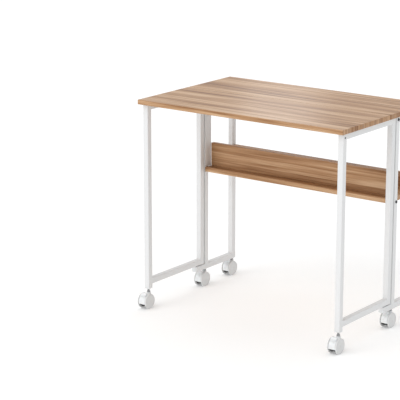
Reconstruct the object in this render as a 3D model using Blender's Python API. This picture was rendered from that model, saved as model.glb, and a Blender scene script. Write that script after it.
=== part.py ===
"""Rolling sewing table: a drop leaf held up by two swing-out gates, on six braked casters.

+X runs along the table's length, -Y is the side of the drop leaf and +Z is up.
The origin is on the floor, below the middle of the whole table.
"""
import itertools
import math

import bmesh
import bpy
from mathutils import Matrix, Vector

# Overall sizes, in metres
TABLE_LENGTH = 0.800
TABLE_DEPTH = 0.525
TABLE_HEIGHT = 0.725
BOARD = 0.016
LEAF_DEPTH = 0.282
SEAM_GAP = 0.0012
EDGE_ROUND = 0.0018
GAP = 0.0003

# Square steel tube and where its members stand, measured back from the leaf's front edge
TUBE = 0.020
TUBE_WALL = 0.0012
END_OVERHANG = 0.008
GATE_LEG_SETBACK = 0.018
GATE_UPRIGHT_SETBACK = 0.313
FRONT_UPRIGHT_SETBACK = 0.338
BACK_UPRIGHT_SETBACK = 0.504
FOOT_RAIL_SETBACK = 0.2875
FOOT_RAIL_BOTTOM = 0.060
GATE_FOOT_BOTTOM = 0.0675
GATE_RAIL_BOTTOM = 0.0825

# Shelf with a tall front panel and a low back board
SHELF_TOP = 0.434
PANEL_SETBACK = 0.374
PANEL_HEIGHT = 0.081
BACK_BOARD_HEIGHT = 0.048
PANEL_BAR = 0.003

# Casters
WHEEL_RADIUS = 0.026
CASTER_TRAIL = 0.014
WHEEL_SEGMENTS = 20
WHEEL_CORE_RADIUS = 0.0220
CHANNEL_RADIUS = 0.0233
WHEEL_INNER_X = 0.0061
WHEEL_FLANGE_X = 0.0128
WHEEL_OUTER_X = 0.0174
AXLE_RADIUS = 0.0020
HOOD_RADIUS = 0.0253
HOOD_HALF_WIDTH = 0.0125
HOOD_START = math.radians(-15)
HOOD_END = math.radians(195)
BOSS_TOP = 0.0535
STEM_RADIUS = 0.004
STEM_COLLAR = (0.0555, 0.0590)
STEM_BOTTOM = 0.036
STEM_TOP = 0.0775
LEVER_ANGLE = math.radians(62)
LEVER_PIVOT_RADIUS = 0.0205

# Pins, bolts and leaf hinges
PIN_RADIUS = 0.003
BOLT_RADIUS = 0.003
BOLT_HEAD_RADIUS = 0.0048
BOLT_HEAD = 0.0030
BOLT_LENGTH = 0.045
SHELF_BOLT_Z = 0.4260
RAIL_BOLT_Z = 0.6985
HINGE_X = 0.250
HINGE_HALF_LENGTH = 0.025
HINGE_LEAF_DEPTH = 0.022
KNUCKLE_RADIUS = 0.0020
KNUCKLE_SPLIT = 0.0087
HINGE_PIN_RADIUS = 0.0009
HINGE_PLATE_LOW = 0.0001
HINGE_PLATE_HIGH = 0.0013
HINGE_POCKET_DEPTH = 0.0017
HINGE_TONGUE = KNUCKLE_RADIUS + 0.002
SEAM_OVERCUT = 0.001

# Places worked out from the sizes above
GATE_WHEEL_OVERHANG = WHEEL_RADIUS + CASTER_TRAIL - GATE_LEG_SETBACK - TUBE / 2
BACK_WHEEL_REACH = BACK_UPRIGHT_SETBACK + TUBE / 2 - CASTER_TRAIL + WHEEL_RADIUS
FRONT_Y = (GATE_WHEEL_OVERHANG - max(TABLE_DEPTH, BACK_WHEEL_REACH)) / 2
BACK_Y = FRONT_Y + TABLE_DEPTH
SEAM_Y = FRONT_Y + LEAF_DEPTH
UNDERSIDE = TABLE_HEIGHT - BOARD
FRAME_TOP = UNDERSIDE - GAP
FRAME_X = TABLE_LENGTH / 2 - END_OVERHANG - TUBE / 2
INNER_X = FRAME_X - TUBE / 2
GATE_LEG_Y = FRONT_Y + GATE_LEG_SETBACK + TUBE / 2
GATE_PIVOT_Y = FRONT_Y + GATE_UPRIGHT_SETBACK + TUBE / 2
FRONT_UPRIGHT_Y = FRONT_Y + FRONT_UPRIGHT_SETBACK + TUBE / 2
BACK_UPRIGHT_Y = FRONT_Y + BACK_UPRIGHT_SETBACK + TUBE / 2
PANEL_Y = FRONT_Y + PANEL_SETBACK
HINGE_Z = UNDERSIDE + 0.0025

SIDES = {"left": -1, "right": 1}


def clear_scene():
    for old in list(bpy.data.objects):
        bpy.data.objects.remove(old)


def material(name, colour, roughness, metallic=0.0):
    mat = bpy.data.materials.new(name)
    mat.use_nodes = True
    shader = mat.node_tree.nodes["Principled BSDF"]
    shader.inputs["Base Color"].default_value = (*colour, 1.0)
    shader.inputs["Roughness"].default_value = roughness
    shader.inputs["Metallic"].default_value = metallic
    return mat


def add_object(name, mesh, mat, location=(0, 0, 0), parent=None):
    """Put a mesh in the scene as one named sub-part."""
    obj = bpy.data.objects.new(name, mesh)
    bpy.context.scene.collection.objects.link(obj)
    if mat is not None and not mesh.materials:
        mesh.materials.append(mat)
    obj.location = location
    obj.parent = parent
    return obj


def add_pivot(name, location, parent=None):
    """An empty that stands on a joint's axis."""
    pivot = bpy.data.objects.new(name, None)
    bpy.context.scene.collection.objects.link(pivot)
    pivot.empty_display_size = 0.02
    pivot.location = location
    pivot.parent = parent
    return pivot


def mesh_from(bm, name, smooth=False, solid=True):
    """Turn a bmesh into a mesh; a hollow body has set its own face directions already."""
    if solid:
        bmesh.ops.recalc_face_normals(bm, faces=bm.faces)
    mesh = bpy.data.meshes.new(name)
    bm.to_mesh(mesh)
    bm.free()
    if smooth:
        mesh.shade_smooth()
        mesh.set_sharp_from_angle(angle=math.radians(35))
    return mesh


def box_mesh(name, low, high):
    bm = bmesh.new()
    size = [b - a for a, b in zip(low, high)]
    middle = [(a + b) / 2 for a, b in zip(low, high)]
    bmesh.ops.create_cube(bm, size=1.0, matrix=Matrix.Translation(middle) @ Matrix.Diagonal((*size, 1.0)))
    return mesh_from(bm, name)


def prism_mesh(name, outline, x_low, x_high):
    """Extrude a closed (y, z) outline along X."""
    bm = bmesh.new()
    face = bm.faces.new([bm.verts.new((x_low, y, z)) for y, z in outline])
    grown = bmesh.ops.extrude_face_region(bm, geom=[face])
    moved = [item for item in grown["geom"] if isinstance(item, bmesh.types.BMVert)]
    bmesh.ops.translate(bm, verts=moved, vec=(x_high - x_low, 0, 0))
    return mesh_from(bm, name)


def turned_mesh(name, profile, segments, axis="Z"):
    """Turn a closed profile of (along, radius) points about an axis."""
    bm = bmesh.new()
    rings = []
    for along, radius in profile:
        if radius == 0:
            rings.append([bm.verts.new((0, 0, along))])
            continue
        ring = []
        for step in range(segments):
            angle = 2 * math.pi * step / segments
            ring.append(bm.verts.new((radius * math.cos(angle), radius * math.sin(angle), along)))
        rings.append(ring)
    closed = len(rings[0]) > 1
    pairs = list(zip(rings, rings[1:] + rings[:1])) if closed else list(zip(rings, rings[1:]))
    for lower, upper in pairs:
        for step in range(segments):
            following = (step + 1) % segments
            corners = [lower[step % len(lower)], lower[following % len(lower)],
                       upper[following % len(upper)], upper[step % len(upper)]]
            bm.faces.new(list(dict.fromkeys(corners)))
    if axis == "X":
        bmesh.ops.rotate(bm, verts=bm.verts, matrix=Matrix.Rotation(math.pi / 2, 3, "Y"))
    return mesh_from(bm, name, smooth=True)


def rod_mesh(name, start, end, radius, segments=12, axis="Z"):
    return turned_mesh(name, [(start, 0), (start, radius), (end, radius), (end, 0)], segments, axis)


def inside_any(point, boxes):
    return any(all(low[axis] < point[axis] < high[axis] for axis in range(3)) for low, high in boxes)


def cell_face(cell, axis, side):
    """The four grid corners of one side of a cell, in order so that the face looks outwards."""
    first, second = [other for other in range(3) if other != axis]
    corners = []
    for a, b in ((0, 0), (1, 0), (1, 1), (0, 1)):
        corner = list(cell)
        corner[axis] += side
        corner[first] += a
        corner[second] += b
        corners.append(tuple(corner))
    turned = (axis == 1) == bool(side)
    return corners[::-1] if turned else corners


def boxes_mesh(name, solids, hollows):
    """One body made of boxes, with hollow boxes taken out of it, on a grid cut at every box's sides."""
    cuts = [sorted({round(corner[axis], 7) for box in solids + hollows for corner in box})
            for axis in range(3)]

    def filled(cell):
        if any(not 0 <= index < len(cuts[axis]) - 1 for axis, index in enumerate(cell)):
            return False
        middle = [(cuts[axis][index] + cuts[axis][index + 1]) / 2 for axis, index in enumerate(cell)]
        return inside_any(middle, solids) and not inside_any(middle, hollows)

    bm = bmesh.new()
    verts = {}
    cells = itertools.product(*[range(len(cut) - 1) for cut in cuts])
    for cell, axis, side in itertools.product(list(filter(filled, cells)), range(3), (0, 1)):
        beyond = list(cell)
        beyond[axis] += 2 * side - 1
        if filled(beyond):
            continue
        corners = cell_face(cell, axis, side)
        for corner in corners:
            if corner not in verts:
                verts[corner] = bm.verts.new([cuts[i][corner[i]] for i in range(3)])
        bm.faces.new([verts[corner] for corner in corners])
    bm.normal_update()
    bmesh.ops.dissolve_limit(bm, angle_limit=0.01, verts=bm.verts, edges=bm.edges)
    bmesh.ops.triangulate(bm, faces=[face for face in bm.faces if len(face.verts) > 4])
    return mesh_from(bm, name, solid=False)


def boolean(obj, other, operation="DIFFERENCE"):
    """Cut, or join, another object's shape; the other object becomes a hidden tool."""
    other.hide_render = True
    other.display_type = "WIRE"
    modifier = obj.modifiers.new(operation.title(), "BOOLEAN")
    modifier.operation = operation
    modifier.solver = "EXACT"
    modifier.object = other


def cut_rods(obj, name, rods):
    """Drill round holes: each rod is (centre, axis, start, end, radius) along X or Z."""
    for number, (centre, axis, start, end, radius) in enumerate(rods):
        tool = add_object(f"{name}_drill_{number}", rod_mesh(name, start, end, radius, 12, axis), None, centre)
        boolean(obj, tool)


def cut_box(obj, name, low, high):
    tool = add_object(name, box_mesh(name, low, high), None)
    boolean(obj, tool)


def baked_mesh(obj):
    """The object's mesh with its modifiers applied, so that several objects can share it."""
    graph = bpy.context.evaluated_depsgraph_get()
    mesh = bpy.data.meshes.new_from_object(obj.evaluated_get(graph))
    mesh.shade_smooth()
    mesh.set_sharp_from_angle(angle=math.radians(35))
    bpy.data.objects.remove(obj)
    return mesh


def tube_box(x, y_range, z_range, shrink=0.0):
    """A square tube member's box at x, or its bore when it is shrunk by the wall."""
    half = TUBE / 2 - shrink
    low = (x - half, y_range[0] + shrink, z_range[0] + shrink)
    high = (x + half, y_range[1] - shrink, z_range[1] - shrink)
    return low, high


def joined_bore(x, y_range, z_range):
    """A bore that runs on through its end walls into the members it meets."""
    half = TUBE / 2 - TUBE_WALL
    run_on = TUBE / 4
    if y_range[1] - y_range[0] > z_range[1] - z_range[0]:
        return ((x - half, y_range[0] - run_on, z_range[0] + TUBE_WALL),
                (x + half, y_range[1] + run_on, z_range[1] - TUBE_WALL))
    return ((x - half, y_range[0] + TUBE_WALL, z_range[0] - run_on),
            (x + half, y_range[1] - TUBE_WALL, z_range[1] + run_on))


def span(centre):
    return centre - TUBE / 2, centre + TUBE / 2


# Frames ---------------------------------------------------------------------------------------

def gate_frame(side, paint, pivot):
    """A welded gate: upright on the hinge line, outer leg with its caster, and two rails."""
    x = SIDES[side] * FRAME_X
    upright = (span(GATE_PIVOT_Y), (GATE_RAIL_BOTTOM, FRAME_TOP))
    leg = (span(GATE_LEG_Y), (GATE_FOOT_BOTTOM, FRAME_TOP))
    between = (span(GATE_LEG_Y)[1], span(GATE_PIVOT_Y)[0])
    rails = [(between, (GATE_RAIL_BOTTOM, GATE_RAIL_BOTTOM + TUBE)),
             (between, (FRAME_TOP - TUBE, FRAME_TOP))]
    solids = [tube_box(x, *member) for member in [upright, leg] + rails]
    hollows = [tube_box(x, *member, TUBE_WALL) for member in (upright, leg)]
    hollows += [joined_bore(x, *rail) for rail in rails]
    mesh = boxes_mesh(f"{side}_gate_frame", solids, hollows)
    mesh.transform(Matrix.Translation(-pivot.location))
    frame = add_object(f"{side}_gate_frame", mesh, paint, parent=pivot)
    hole = PIN_RADIUS + GAP
    rods = [((x, GATE_PIVOT_Y, 0), "Z", FRAME_TOP - 2 * TUBE_WALL, FRAME_TOP + TUBE_WALL, hole),
            ((x, GATE_PIVOT_Y, 0), "Z", GATE_RAIL_BOTTOM - TUBE_WALL, GATE_RAIL_BOTTOM + 2 * TUBE_WALL, hole),
            ((x, GATE_LEG_Y, 0), "Z", GATE_FOOT_BOTTOM - TUBE_WALL, GATE_FOOT_BOTTOM + 2 * TUBE_WALL,
             STEM_RADIUS + GAP)]
    cut_rods(frame, f"{side}_gate", rods)


def end_frame(side, paint):
    """A welded end frame; its foot rail runs forward under the gate's upright."""
    x = SIDES[side] * FRAME_X
    rail_top = FOOT_RAIL_BOTTOM + TUBE
    foot_rail = ((FRONT_Y + FOOT_RAIL_SETBACK, BACK_UPRIGHT_Y + TUBE / 2), (FOOT_RAIL_BOTTOM, rail_top))
    uprights = [(span(y), (rail_top, FRAME_TOP)) for y in (FRONT_UPRIGHT_Y, BACK_UPRIGHT_Y)]
    top_rail = ((span(FRONT_UPRIGHT_Y)[1], span(BACK_UPRIGHT_Y)[0]), (FRAME_TOP - TUBE, FRAME_TOP))
    solids = [tube_box(x, *member) for member in [foot_rail, top_rail] + uprights]
    hollows = [tube_box(x, *foot_rail, TUBE_WALL), joined_bore(x, *top_rail)]
    for y_range, z_range in uprights:
        hollows.append(joined_bore(x, y_range, (z_range[0], z_range[1] - TUBE / 4 - TUBE_WALL)))
    bar_x = sorted((SIDES[side] * INNER_X, SIDES[side] * (INNER_X + PANEL_BAR)))
    bar_low = (bar_x[0], span(FRONT_UPRIGHT_Y)[1], SHELF_TOP + GAP)
    bar_high = (bar_x[1], PANEL_Y - GAP, FRAME_TOP - TUBE)
    solids.append((bar_low, bar_high))
    mesh = boxes_mesh(f"{side}_end_frame", solids, hollows)
    frame = add_object(f"{side}_end_frame", mesh, paint)
    bolt_ends = (-TUBE, TUBE)
    rods = [((x, FRONT_UPRIGHT_Y, z), "X", *bolt_ends, BOLT_RADIUS + GAP) for z in (SHELF_BOLT_Z, RAIL_BOLT_Z)]
    rods += [((x, y, 0), "Z", FOOT_RAIL_BOTTOM - TUBE_WALL, FOOT_RAIL_BOTTOM + 2 * TUBE_WALL,
              STEM_RADIUS + GAP) for y in (FRONT_UPRIGHT_Y, BACK_UPRIGHT_Y)]
    rods.append(((x, GATE_PIVOT_Y, 0), "Z", rail_top - 2 * TUBE_WALL, rail_top + TUBE_WALL, PIN_RADIUS + GAP))
    cut_rods(frame, f"{side}_end", rods)


def cross_rail(paint):
    """The tube under the fixed top that ties the two end frames together."""
    reach = INNER_X - GAP
    y_low, y_high = span(FRONT_UPRIGHT_Y)
    low = (-reach, y_low, FRAME_TOP - TUBE)
    high = (reach, y_high, FRAME_TOP)
    bore = tuple(tuple(value + sign * TUBE_WALL for value in corner) for corner, sign in ((low, 1), (high, -1)))
    mesh = boxes_mesh("top_cross_rail", [(low, high)], [bore])
    rail = add_object("top_cross_rail", mesh, paint)
    middle = (0, FRONT_UPRIGHT_Y, RAIL_BOLT_Z)
    rods = [(middle, "X", *sorted((side * (reach - 2 * TUBE_WALL), side * (reach + TUBE_WALL))),
             BOLT_RADIUS + GAP) for side in SIDES.values()]
    cut_rods(rail, "cross_rail", rods)


# Boards ---------------------------------------------------------------------------------------

def board_outline(y_low, y_high, z_low, z_high, rounds):
    """A board's section; rounds gives the radius at low-low, high-low, high-high and low-high."""
    corners = [(y_low, z_low, 1, 1), (y_high, z_low, -1, 1), (y_high, z_high, -1, -1), (y_low, z_high, 1, -1)]
    outline = []
    steps = 3
    for number, ((y, z, inward_y, inward_z), radius) in enumerate(zip(corners, rounds)):
        for step in range(steps + 1):
            turn = math.pi + number * math.pi / 2 + step * math.pi / 2 / steps
            outline.append((y + inward_y * radius + radius * math.cos(turn),
                            z + inward_z * radius + radius * math.sin(turn)))
    return outline


def board(name, reach, y_range, z_range, wood, rounds=(EDGE_ROUND,) * 4, parent=None):
    mesh = prism_mesh(name, board_outline(*y_range, *z_range, rounds), -reach, reach)
    if parent:
        mesh.transform(Matrix.Translation(-parent.location))
    return add_object(name, mesh, wood, parent=parent)


def hinge_pockets(panel, name, towards):
    """Let the two hinges into the board's underside, on the side of the seam given by towards."""
    for side, sign in SIDES.items():
        x = sign * HINGE_X
        half = HINGE_HALF_LENGTH + GAP
        edge = SEAM_Y - towards * SEAM_OVERCUT
        plate = sorted((edge, SEAM_Y + towards * (HINGE_LEAF_DEPTH + GAP)))
        knuckle = sorted((edge, SEAM_Y + towards * (KNUCKLE_RADIUS + SEAM_OVERCUT)))
        cut_box(panel, f"{name}_{side}_plate_pocket", (x - half, plate[0], UNDERSIDE - 2 * SEAM_OVERCUT),
                (x + half, plate[1], UNDERSIDE + HINGE_POCKET_DEPTH))
        cut_box(panel, f"{name}_{side}_knuckle_pocket", (x - half, knuckle[0], UNDERSIDE - 3 * SEAM_OVERCUT),
                (x + half, knuckle[1], HINGE_Z + KNUCKLE_RADIUS + SEAM_OVERCUT / 2))


def table_tops(wood, leaf_pivot):
    reach = TABLE_LENGTH / 2
    heights = (UNDERSIDE, TABLE_HEIGHT)
    seam = 0.0005
    relief = 0.0025
    fixed = board("fixed_top", reach, (SEAM_Y + SEAM_GAP / 2, BACK_Y), heights, wood,
                  (relief, EDGE_ROUND, EDGE_ROUND, seam))
    hinge_pockets(fixed, "fixed_top", 1)
    holes = [((sign * FRAME_X, GATE_PIVOT_Y, 0), "Z", UNDERSIDE - 0.004, UNDERSIDE + 0.0100, PIN_RADIUS + GAP)
             for sign in SIDES.values()]
    cut_rods(fixed, "fixed_top", holes)
    leaf = board("drop_leaf", reach, (FRONT_Y, SEAM_Y - SEAM_GAP / 2), heights, wood,
                 (EDGE_ROUND, relief, seam, EDGE_ROUND), leaf_pivot)
    hinge_pockets(leaf, "drop_leaf", -1)


def shelf_boards(wood):
    reach = INNER_X - GAP
    front = FRONT_Y + FRONT_UPRIGHT_SETBACK
    back = BACK_UPRIGHT_Y + TUBE / 2
    shelf = board("shelf_board", reach, (front, back), (SHELF_TOP - BOARD, SHELF_TOP), wood, (0.001,) * 4)
    holes = []
    for sign in SIDES.values():
        ends = sorted((sign * (FRAME_X + TUBE / 2 - BOLT_LENGTH - 0.001), sign * (reach + 0.002)))
        holes.append(((0, FRONT_UPRIGHT_Y, SHELF_BOLT_Z), "X", *ends, BOLT_RADIUS + GAP))
    cut_rods(shelf, "shelf", holes)
    base = SHELF_TOP + GAP
    board("front_panel", reach, (PANEL_Y, PANEL_Y + BOARD), (base, base + PANEL_HEIGHT), wood, (0.001,) * 4)
    board("back_board", reach, (back - BOARD, back), (base, base + BACK_BOARD_HEIGHT), wood, (0.001,) * 4)


# Pins, bolts and hinges -----------------------------------------------------------------------

def gate_pins(steel):
    """Each gate turns on a pin in the fixed top and a shouldered pin in the foot rail."""
    rail_top = FOOT_RAIL_BOTTOM + TUBE
    shoulder = 0.007
    for side, sign in SIDES.items():
        place = (sign * FRAME_X, GATE_PIVOT_Y, 0)
        top = rod_mesh(f"{side}_gate_top_pin", FRAME_TOP - 0.018, UNDERSIDE + 0.0095, PIN_RADIUS)
        add_object(f"{side}_gate_top_pin", top, steel, place)
        profile = [(rail_top - 0.008, 0), (rail_top - 0.008, PIN_RADIUS), (rail_top + GAP, PIN_RADIUS),
                   (rail_top + GAP, shoulder), (GATE_RAIL_BOTTOM - GAP, shoulder),
                   (GATE_RAIL_BOTTOM - GAP, PIN_RADIUS), (rail_top + 0.014, PIN_RADIUS), (rail_top + 0.014, 0)]
        bottom = turned_mesh(f"{side}_gate_bottom_pin", profile, 12)
        add_object(f"{side}_gate_bottom_pin", bottom, steel, place)


def bolt_mesh():
    """A socket-head bolt along -X, with its head's seat at the origin."""
    socket_radius = 0.0023
    socket_depth = 0.0018
    profile = [(-BOLT_LENGTH, 0), (-BOLT_LENGTH, BOLT_RADIUS), (0, BOLT_RADIUS), (0, BOLT_HEAD_RADIUS),
               (BOLT_HEAD - 0.0006, BOLT_HEAD_RADIUS), (BOLT_HEAD, BOLT_HEAD_RADIUS - 0.0006),
               (BOLT_HEAD, socket_radius), (BOLT_HEAD - socket_depth, socket_radius),
               (BOLT_HEAD - socket_depth, 0)]
    return turned_mesh("bolt", profile, 12, "X")


def frame_bolts(steel):
    mesh = bolt_mesh()
    for side, sign in SIDES.items():
        for level, z in (("shelf", SHELF_BOLT_Z), ("rail", RAIL_BOLT_Z)):
            place = (sign * (FRAME_X + TUBE / 2 + GAP), FRONT_UPRIGHT_Y, z)
            bolt = add_object(f"{side}_{level}_bolt", mesh, steel, place)
            bolt.rotation_euler.z = 0 if sign > 0 else math.pi


def hinge_plate(name, x, towards, own_spans, steel, parent):
    """A hinge plate lying in its pocket, with knuckles on the given stretches of the pin."""
    low_z = UNDERSIDE + HINGE_PLATE_LOW
    high_z = UNDERSIDE + HINGE_PLATE_HIGH
    clear = sorted((SEAM_Y + towards * (KNUCKLE_RADIUS + GAP), SEAM_Y + towards * HINGE_LEAF_DEPTH))
    tongue = sorted((SEAM_Y + towards * 0.0004, SEAM_Y + towards * HINGE_TONGUE))
    tongue_inset = 0.0002
    half = HINGE_HALF_LENGTH
    body = add_object(name, box_mesh(name, (x - half, clear[0], low_z), (x + half, clear[1], high_z)), None)
    tools = []
    for start, end in own_spans:
        low = (x + start, tongue[0], low_z + tongue_inset)
        high = (x + end, tongue[1], high_z - tongue_inset)
        tools.append(add_object("tongue", box_mesh("tongue", low, high), None))
        boolean(body, tools[-1], "UNION")
        roll = rod_mesh("knuckle", start, end, KNUCKLE_RADIUS, 12, "X")
        tools.append(add_object("knuckle", roll, None, (x, SEAM_Y, HINGE_Z)))
        boolean(body, tools[-1], "UNION")
    bore = rod_mesh("knuckle_bore", -2 * half, 2 * half, HINGE_PIN_RADIUS + GAP, 12, "X")
    tools.append(add_object("knuckle_bore", bore, None, (x, SEAM_Y, HINGE_Z)))
    boolean(body, tools[-1])
    mesh = baked_mesh(body)
    for tool in tools:
        bpy.data.objects.remove(tool)
    if parent:
        mesh.transform(Matrix.Translation(-parent.location))
    add_object(name, mesh, steel, parent=parent)


def leaf_hinges(steel, leaf_pivot):
    half = HINGE_HALF_LENGTH
    for side, sign in SIDES.items():
        x = sign * HINGE_X
        outer_spans = [(-half, -KNUCKLE_SPLIT), (KNUCKLE_SPLIT, half)]
        middle_span = [(-KNUCKLE_SPLIT + GAP, KNUCKLE_SPLIT - GAP)]
        hinge_plate(f"{side}_hinge_fixed_plate", x, 1, outer_spans, steel, None)
        hinge_plate(f"{side}_hinge_leaf_plate", x, -1, middle_span, steel, leaf_pivot)
        pin = rod_mesh(f"{side}_hinge_pin", -half + GAP, half - GAP, HINGE_PIN_RADIUS, 12, "X")
        add_object(f"{side}_hinge_pin", pin, steel, (x, SEAM_Y, HINGE_Z))


# Casters --------------------------------------------------------------------------------------

def around_wheel(angle, radius):
    """A (y, z) point about the wheel's centre; 0 is the front and 90 degrees is up."""
    return -CASTER_TRAIL - radius * math.cos(angle), WHEEL_RADIUS + radius * math.sin(angle)


def wheel_mesh():
    """A wheel on the +X side of the hood, about its own centre, standing on a flat of its rim."""
    bore = AXLE_RADIUS + GAP
    bore_end = 0.0135
    profile = [(bore_end, 0), (bore_end, bore), (WHEEL_INNER_X, bore), (WHEEL_INNER_X, WHEEL_CORE_RADIUS),
               (WHEEL_FLANGE_X, WHEEL_CORE_RADIUS), (WHEEL_FLANGE_X, WHEEL_RADIUS),
               (WHEEL_OUTER_X - 0.0014, WHEEL_RADIUS), (WHEEL_OUTER_X, WHEEL_RADIUS - 0.0018),
               (WHEEL_OUTER_X, 0)]
    across_corners = 1 / math.cos(math.pi / WHEEL_SEGMENTS)
    mesh = turned_mesh("caster_wheel", [(x, radius * across_corners) for x, radius in profile],
                       WHEEL_SEGMENTS, "X")
    mesh.transform(Matrix.Rotation(math.pi / WHEEL_SEGMENTS, 4, "X"))
    return mesh


def hood_mesh():
    """The white hood: a fender over both wheels, a web for the axle and a boss for the stem."""
    steps = 16
    angles = [HOOD_START + (HOOD_END - HOOD_START) * step / steps for step in range(steps + 1)]
    outline = [around_wheel(angle, HOOD_RADIUS) for angle in angles]
    hood = add_object("hood", prism_mesh("hood", outline, -HOOD_HALF_WIDTH, HOOD_HALF_WIDTH), None)
    boss = add_object("boss", rod_mesh("boss", 0.0452, BOSS_TOP, 0.0072, 16), None)
    boolean(hood, boss, "UNION")
    tools = [boss]
    centre = (0, -CASTER_TRAIL, WHEEL_RADIUS)
    channel = WHEEL_INNER_X - GAP
    for sign in SIDES.values():
        ends = sorted((sign * channel, sign * 2 * HOOD_HALF_WIDTH))
        tools.append(add_object("channel", rod_mesh("channel", *ends, CHANNEL_RADIUS, 20, "X"), None,
                                centre))
        boolean(hood, tools[-1])
    axle = rod_mesh("axle_bore", -2 * channel, 2 * channel, AXLE_RADIUS + GAP, 12, "X")
    tools.append(add_object("axle_bore", axle, None, centre))
    boolean(hood, tools[-1])
    stem = rod_mesh("stem_bore", STEM_BOTTOM - 0.0005, 2 * BOSS_TOP, STEM_RADIUS + GAP, 12)
    tools.append(add_object("stem_bore", stem, None))
    boolean(hood, tools[-1])
    slot = prism_mesh("lever_slot", lever_slot_outline(), -0.0043, 0.0043)
    tools.append(add_object("lever_slot", slot, None))
    boolean(hood, tools[-1])
    mesh = baked_mesh(hood)
    for tool in tools:
        bpy.data.objects.remove(tool)
    return mesh


def lever_slot_outline():
    """The window in the hood's front through which the brake lever comes out."""
    spread = math.radians(13)
    return [around_wheel(LEVER_ANGLE - spread, 0.0165), around_wheel(LEVER_ANGLE - spread, 0.0290),
            around_wheel(LEVER_ANGLE + spread, 0.0290), around_wheel(LEVER_ANGLE + spread, 0.0165)]


def lever_mesh():
    """The brake lever about its pivot: a narrow root in the slot and a wide foot tab in front."""
    pivot = around_wheel(LEVER_ANGLE, LEVER_PIVOT_RADIUS)
    width = 0.0040
    root = []
    for angle, radius in ((-7, 0.0190), (-7, 0.0285), (7, 0.0285), (7, 0.0190)):
        y, z = around_wheel(LEVER_ANGLE + math.radians(angle), radius)
        root.append((y - pivot[0], z - pivot[1]))
    lever = add_object("lever", prism_mesh("lever", root, -width, width), None)
    tab = []
    for angle, radius in ((6, 0.0272), (-16, 0.0268), (-16, 0.0284), (0, 0.0294), (5, 0.0330), (9, 0.0325)):
        y, z = around_wheel(LEVER_ANGLE + math.radians(angle), radius)
        tab.append((y - pivot[0], z - pivot[1]))
    plate = add_object("tab", prism_mesh("tab", tab, -0.0105, 0.0105), None)
    boolean(lever, plate, "UNION")
    mesh = baked_mesh(lever)
    bpy.data.objects.remove(plate)
    return mesh


def stem_mesh():
    low, high = STEM_COLLAR
    profile = [(STEM_BOTTOM, 0), (STEM_BOTTOM, STEM_RADIUS), (low, STEM_RADIUS), (low, 0.0062),
               (high, 0.0062), (high, STEM_RADIUS), (STEM_TOP, STEM_RADIUS), (STEM_TOP, 0)]
    return turned_mesh("caster_stem", profile, 12)


def casters(gate_pivots, white, steel, grey):
    """Six casters: one in each gate's leg and two under each foot rail."""
    places = {}
    for side, sign in SIDES.items():
        places[f"{side}_gate"] = (sign * FRAME_X, GATE_LEG_Y, gate_pivots[side])
        places[f"{side}_front"] = (sign * FRAME_X, FRONT_UPRIGHT_Y, None)
        places[f"{side}_back"] = (sign * FRAME_X, BACK_UPRIGHT_Y, None)
    hood = hood_mesh()
    lever = lever_mesh()
    stem = stem_mesh()
    wheel = wheel_mesh()
    axle = rod_mesh("caster_axle", -0.0132, 0.0132, AXLE_RADIUS, 12, "X")
    lever_y, lever_z = around_wheel(LEVER_ANGLE, LEVER_PIVOT_RADIUS)
    for name, (x, y, carrier) in places.items():
        base = Vector((x, y, 0)) - (carrier.location if carrier else Vector())
        add_object(f"{name}_caster_stem", stem, steel, base, carrier)
        swivel = add_pivot(f"{name}_swivel", base, carrier)
        add_object(f"{name}_caster_hood", hood, white, parent=swivel)
        add_object(f"{name}_brake_lever", lever, white, (0, lever_y, lever_z), swivel)
        roll = add_pivot(f"{name}_roll", (0, -CASTER_TRAIL, WHEEL_RADIUS), swivel)
        add_object(f"{name}_caster_axle", axle, steel, parent=roll)
        for side, sign in SIDES.items():
            part = add_object(f"{name}_{side}_wheel", wheel, grey, parent=roll)
            part.rotation_euler.z = 0 if sign > 0 else math.pi


def build():
    clear_scene()
    wood = material("oak_board", (0.52, 0.34, 0.20), 0.45)
    paint = material("white_paint", (0.83, 0.83, 0.81), 0.40)
    white = material("white_plastic", (0.85, 0.85, 0.84), 0.35)
    grey = material("wheel_plastic", (0.78, 0.78, 0.77), 0.45)
    zinc = material("zinc_steel", (0.55, 0.55, 0.56), 0.35, 1.0)
    black = material("black_steel", (0.03, 0.03, 0.03), 0.40, 1.0)
    leaf_pivot = add_pivot("leaf_pivot", (0, SEAM_Y, HINGE_Z))
    gate_pivots = {side: add_pivot(f"{side}_gate_pivot", (sign * FRAME_X, GATE_PIVOT_Y, 0))
                   for side, sign in SIDES.items()}
    for side in SIDES:
        end_frame(side, paint)
        gate_frame(side, paint, gate_pivots[side])
    cross_rail(paint)
    table_tops(wood, leaf_pivot)
    shelf_boards(wood)
    gate_pins(zinc)
    frame_bolts(black)
    leaf_hinges(zinc, leaf_pivot)
    casters(gate_pivots, white, zinc, grey)


build()
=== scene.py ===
"""The looks of a rolling sewing table: a drop leaf on two swing-out gates, with six braked casters.

Everything is in metres in the CAD model's own frame: +X along the table, -Y towards the drop leaf, +Z up.
"""
import math

import bmesh
import bpy
from mathutils import Matrix, Vector


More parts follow.
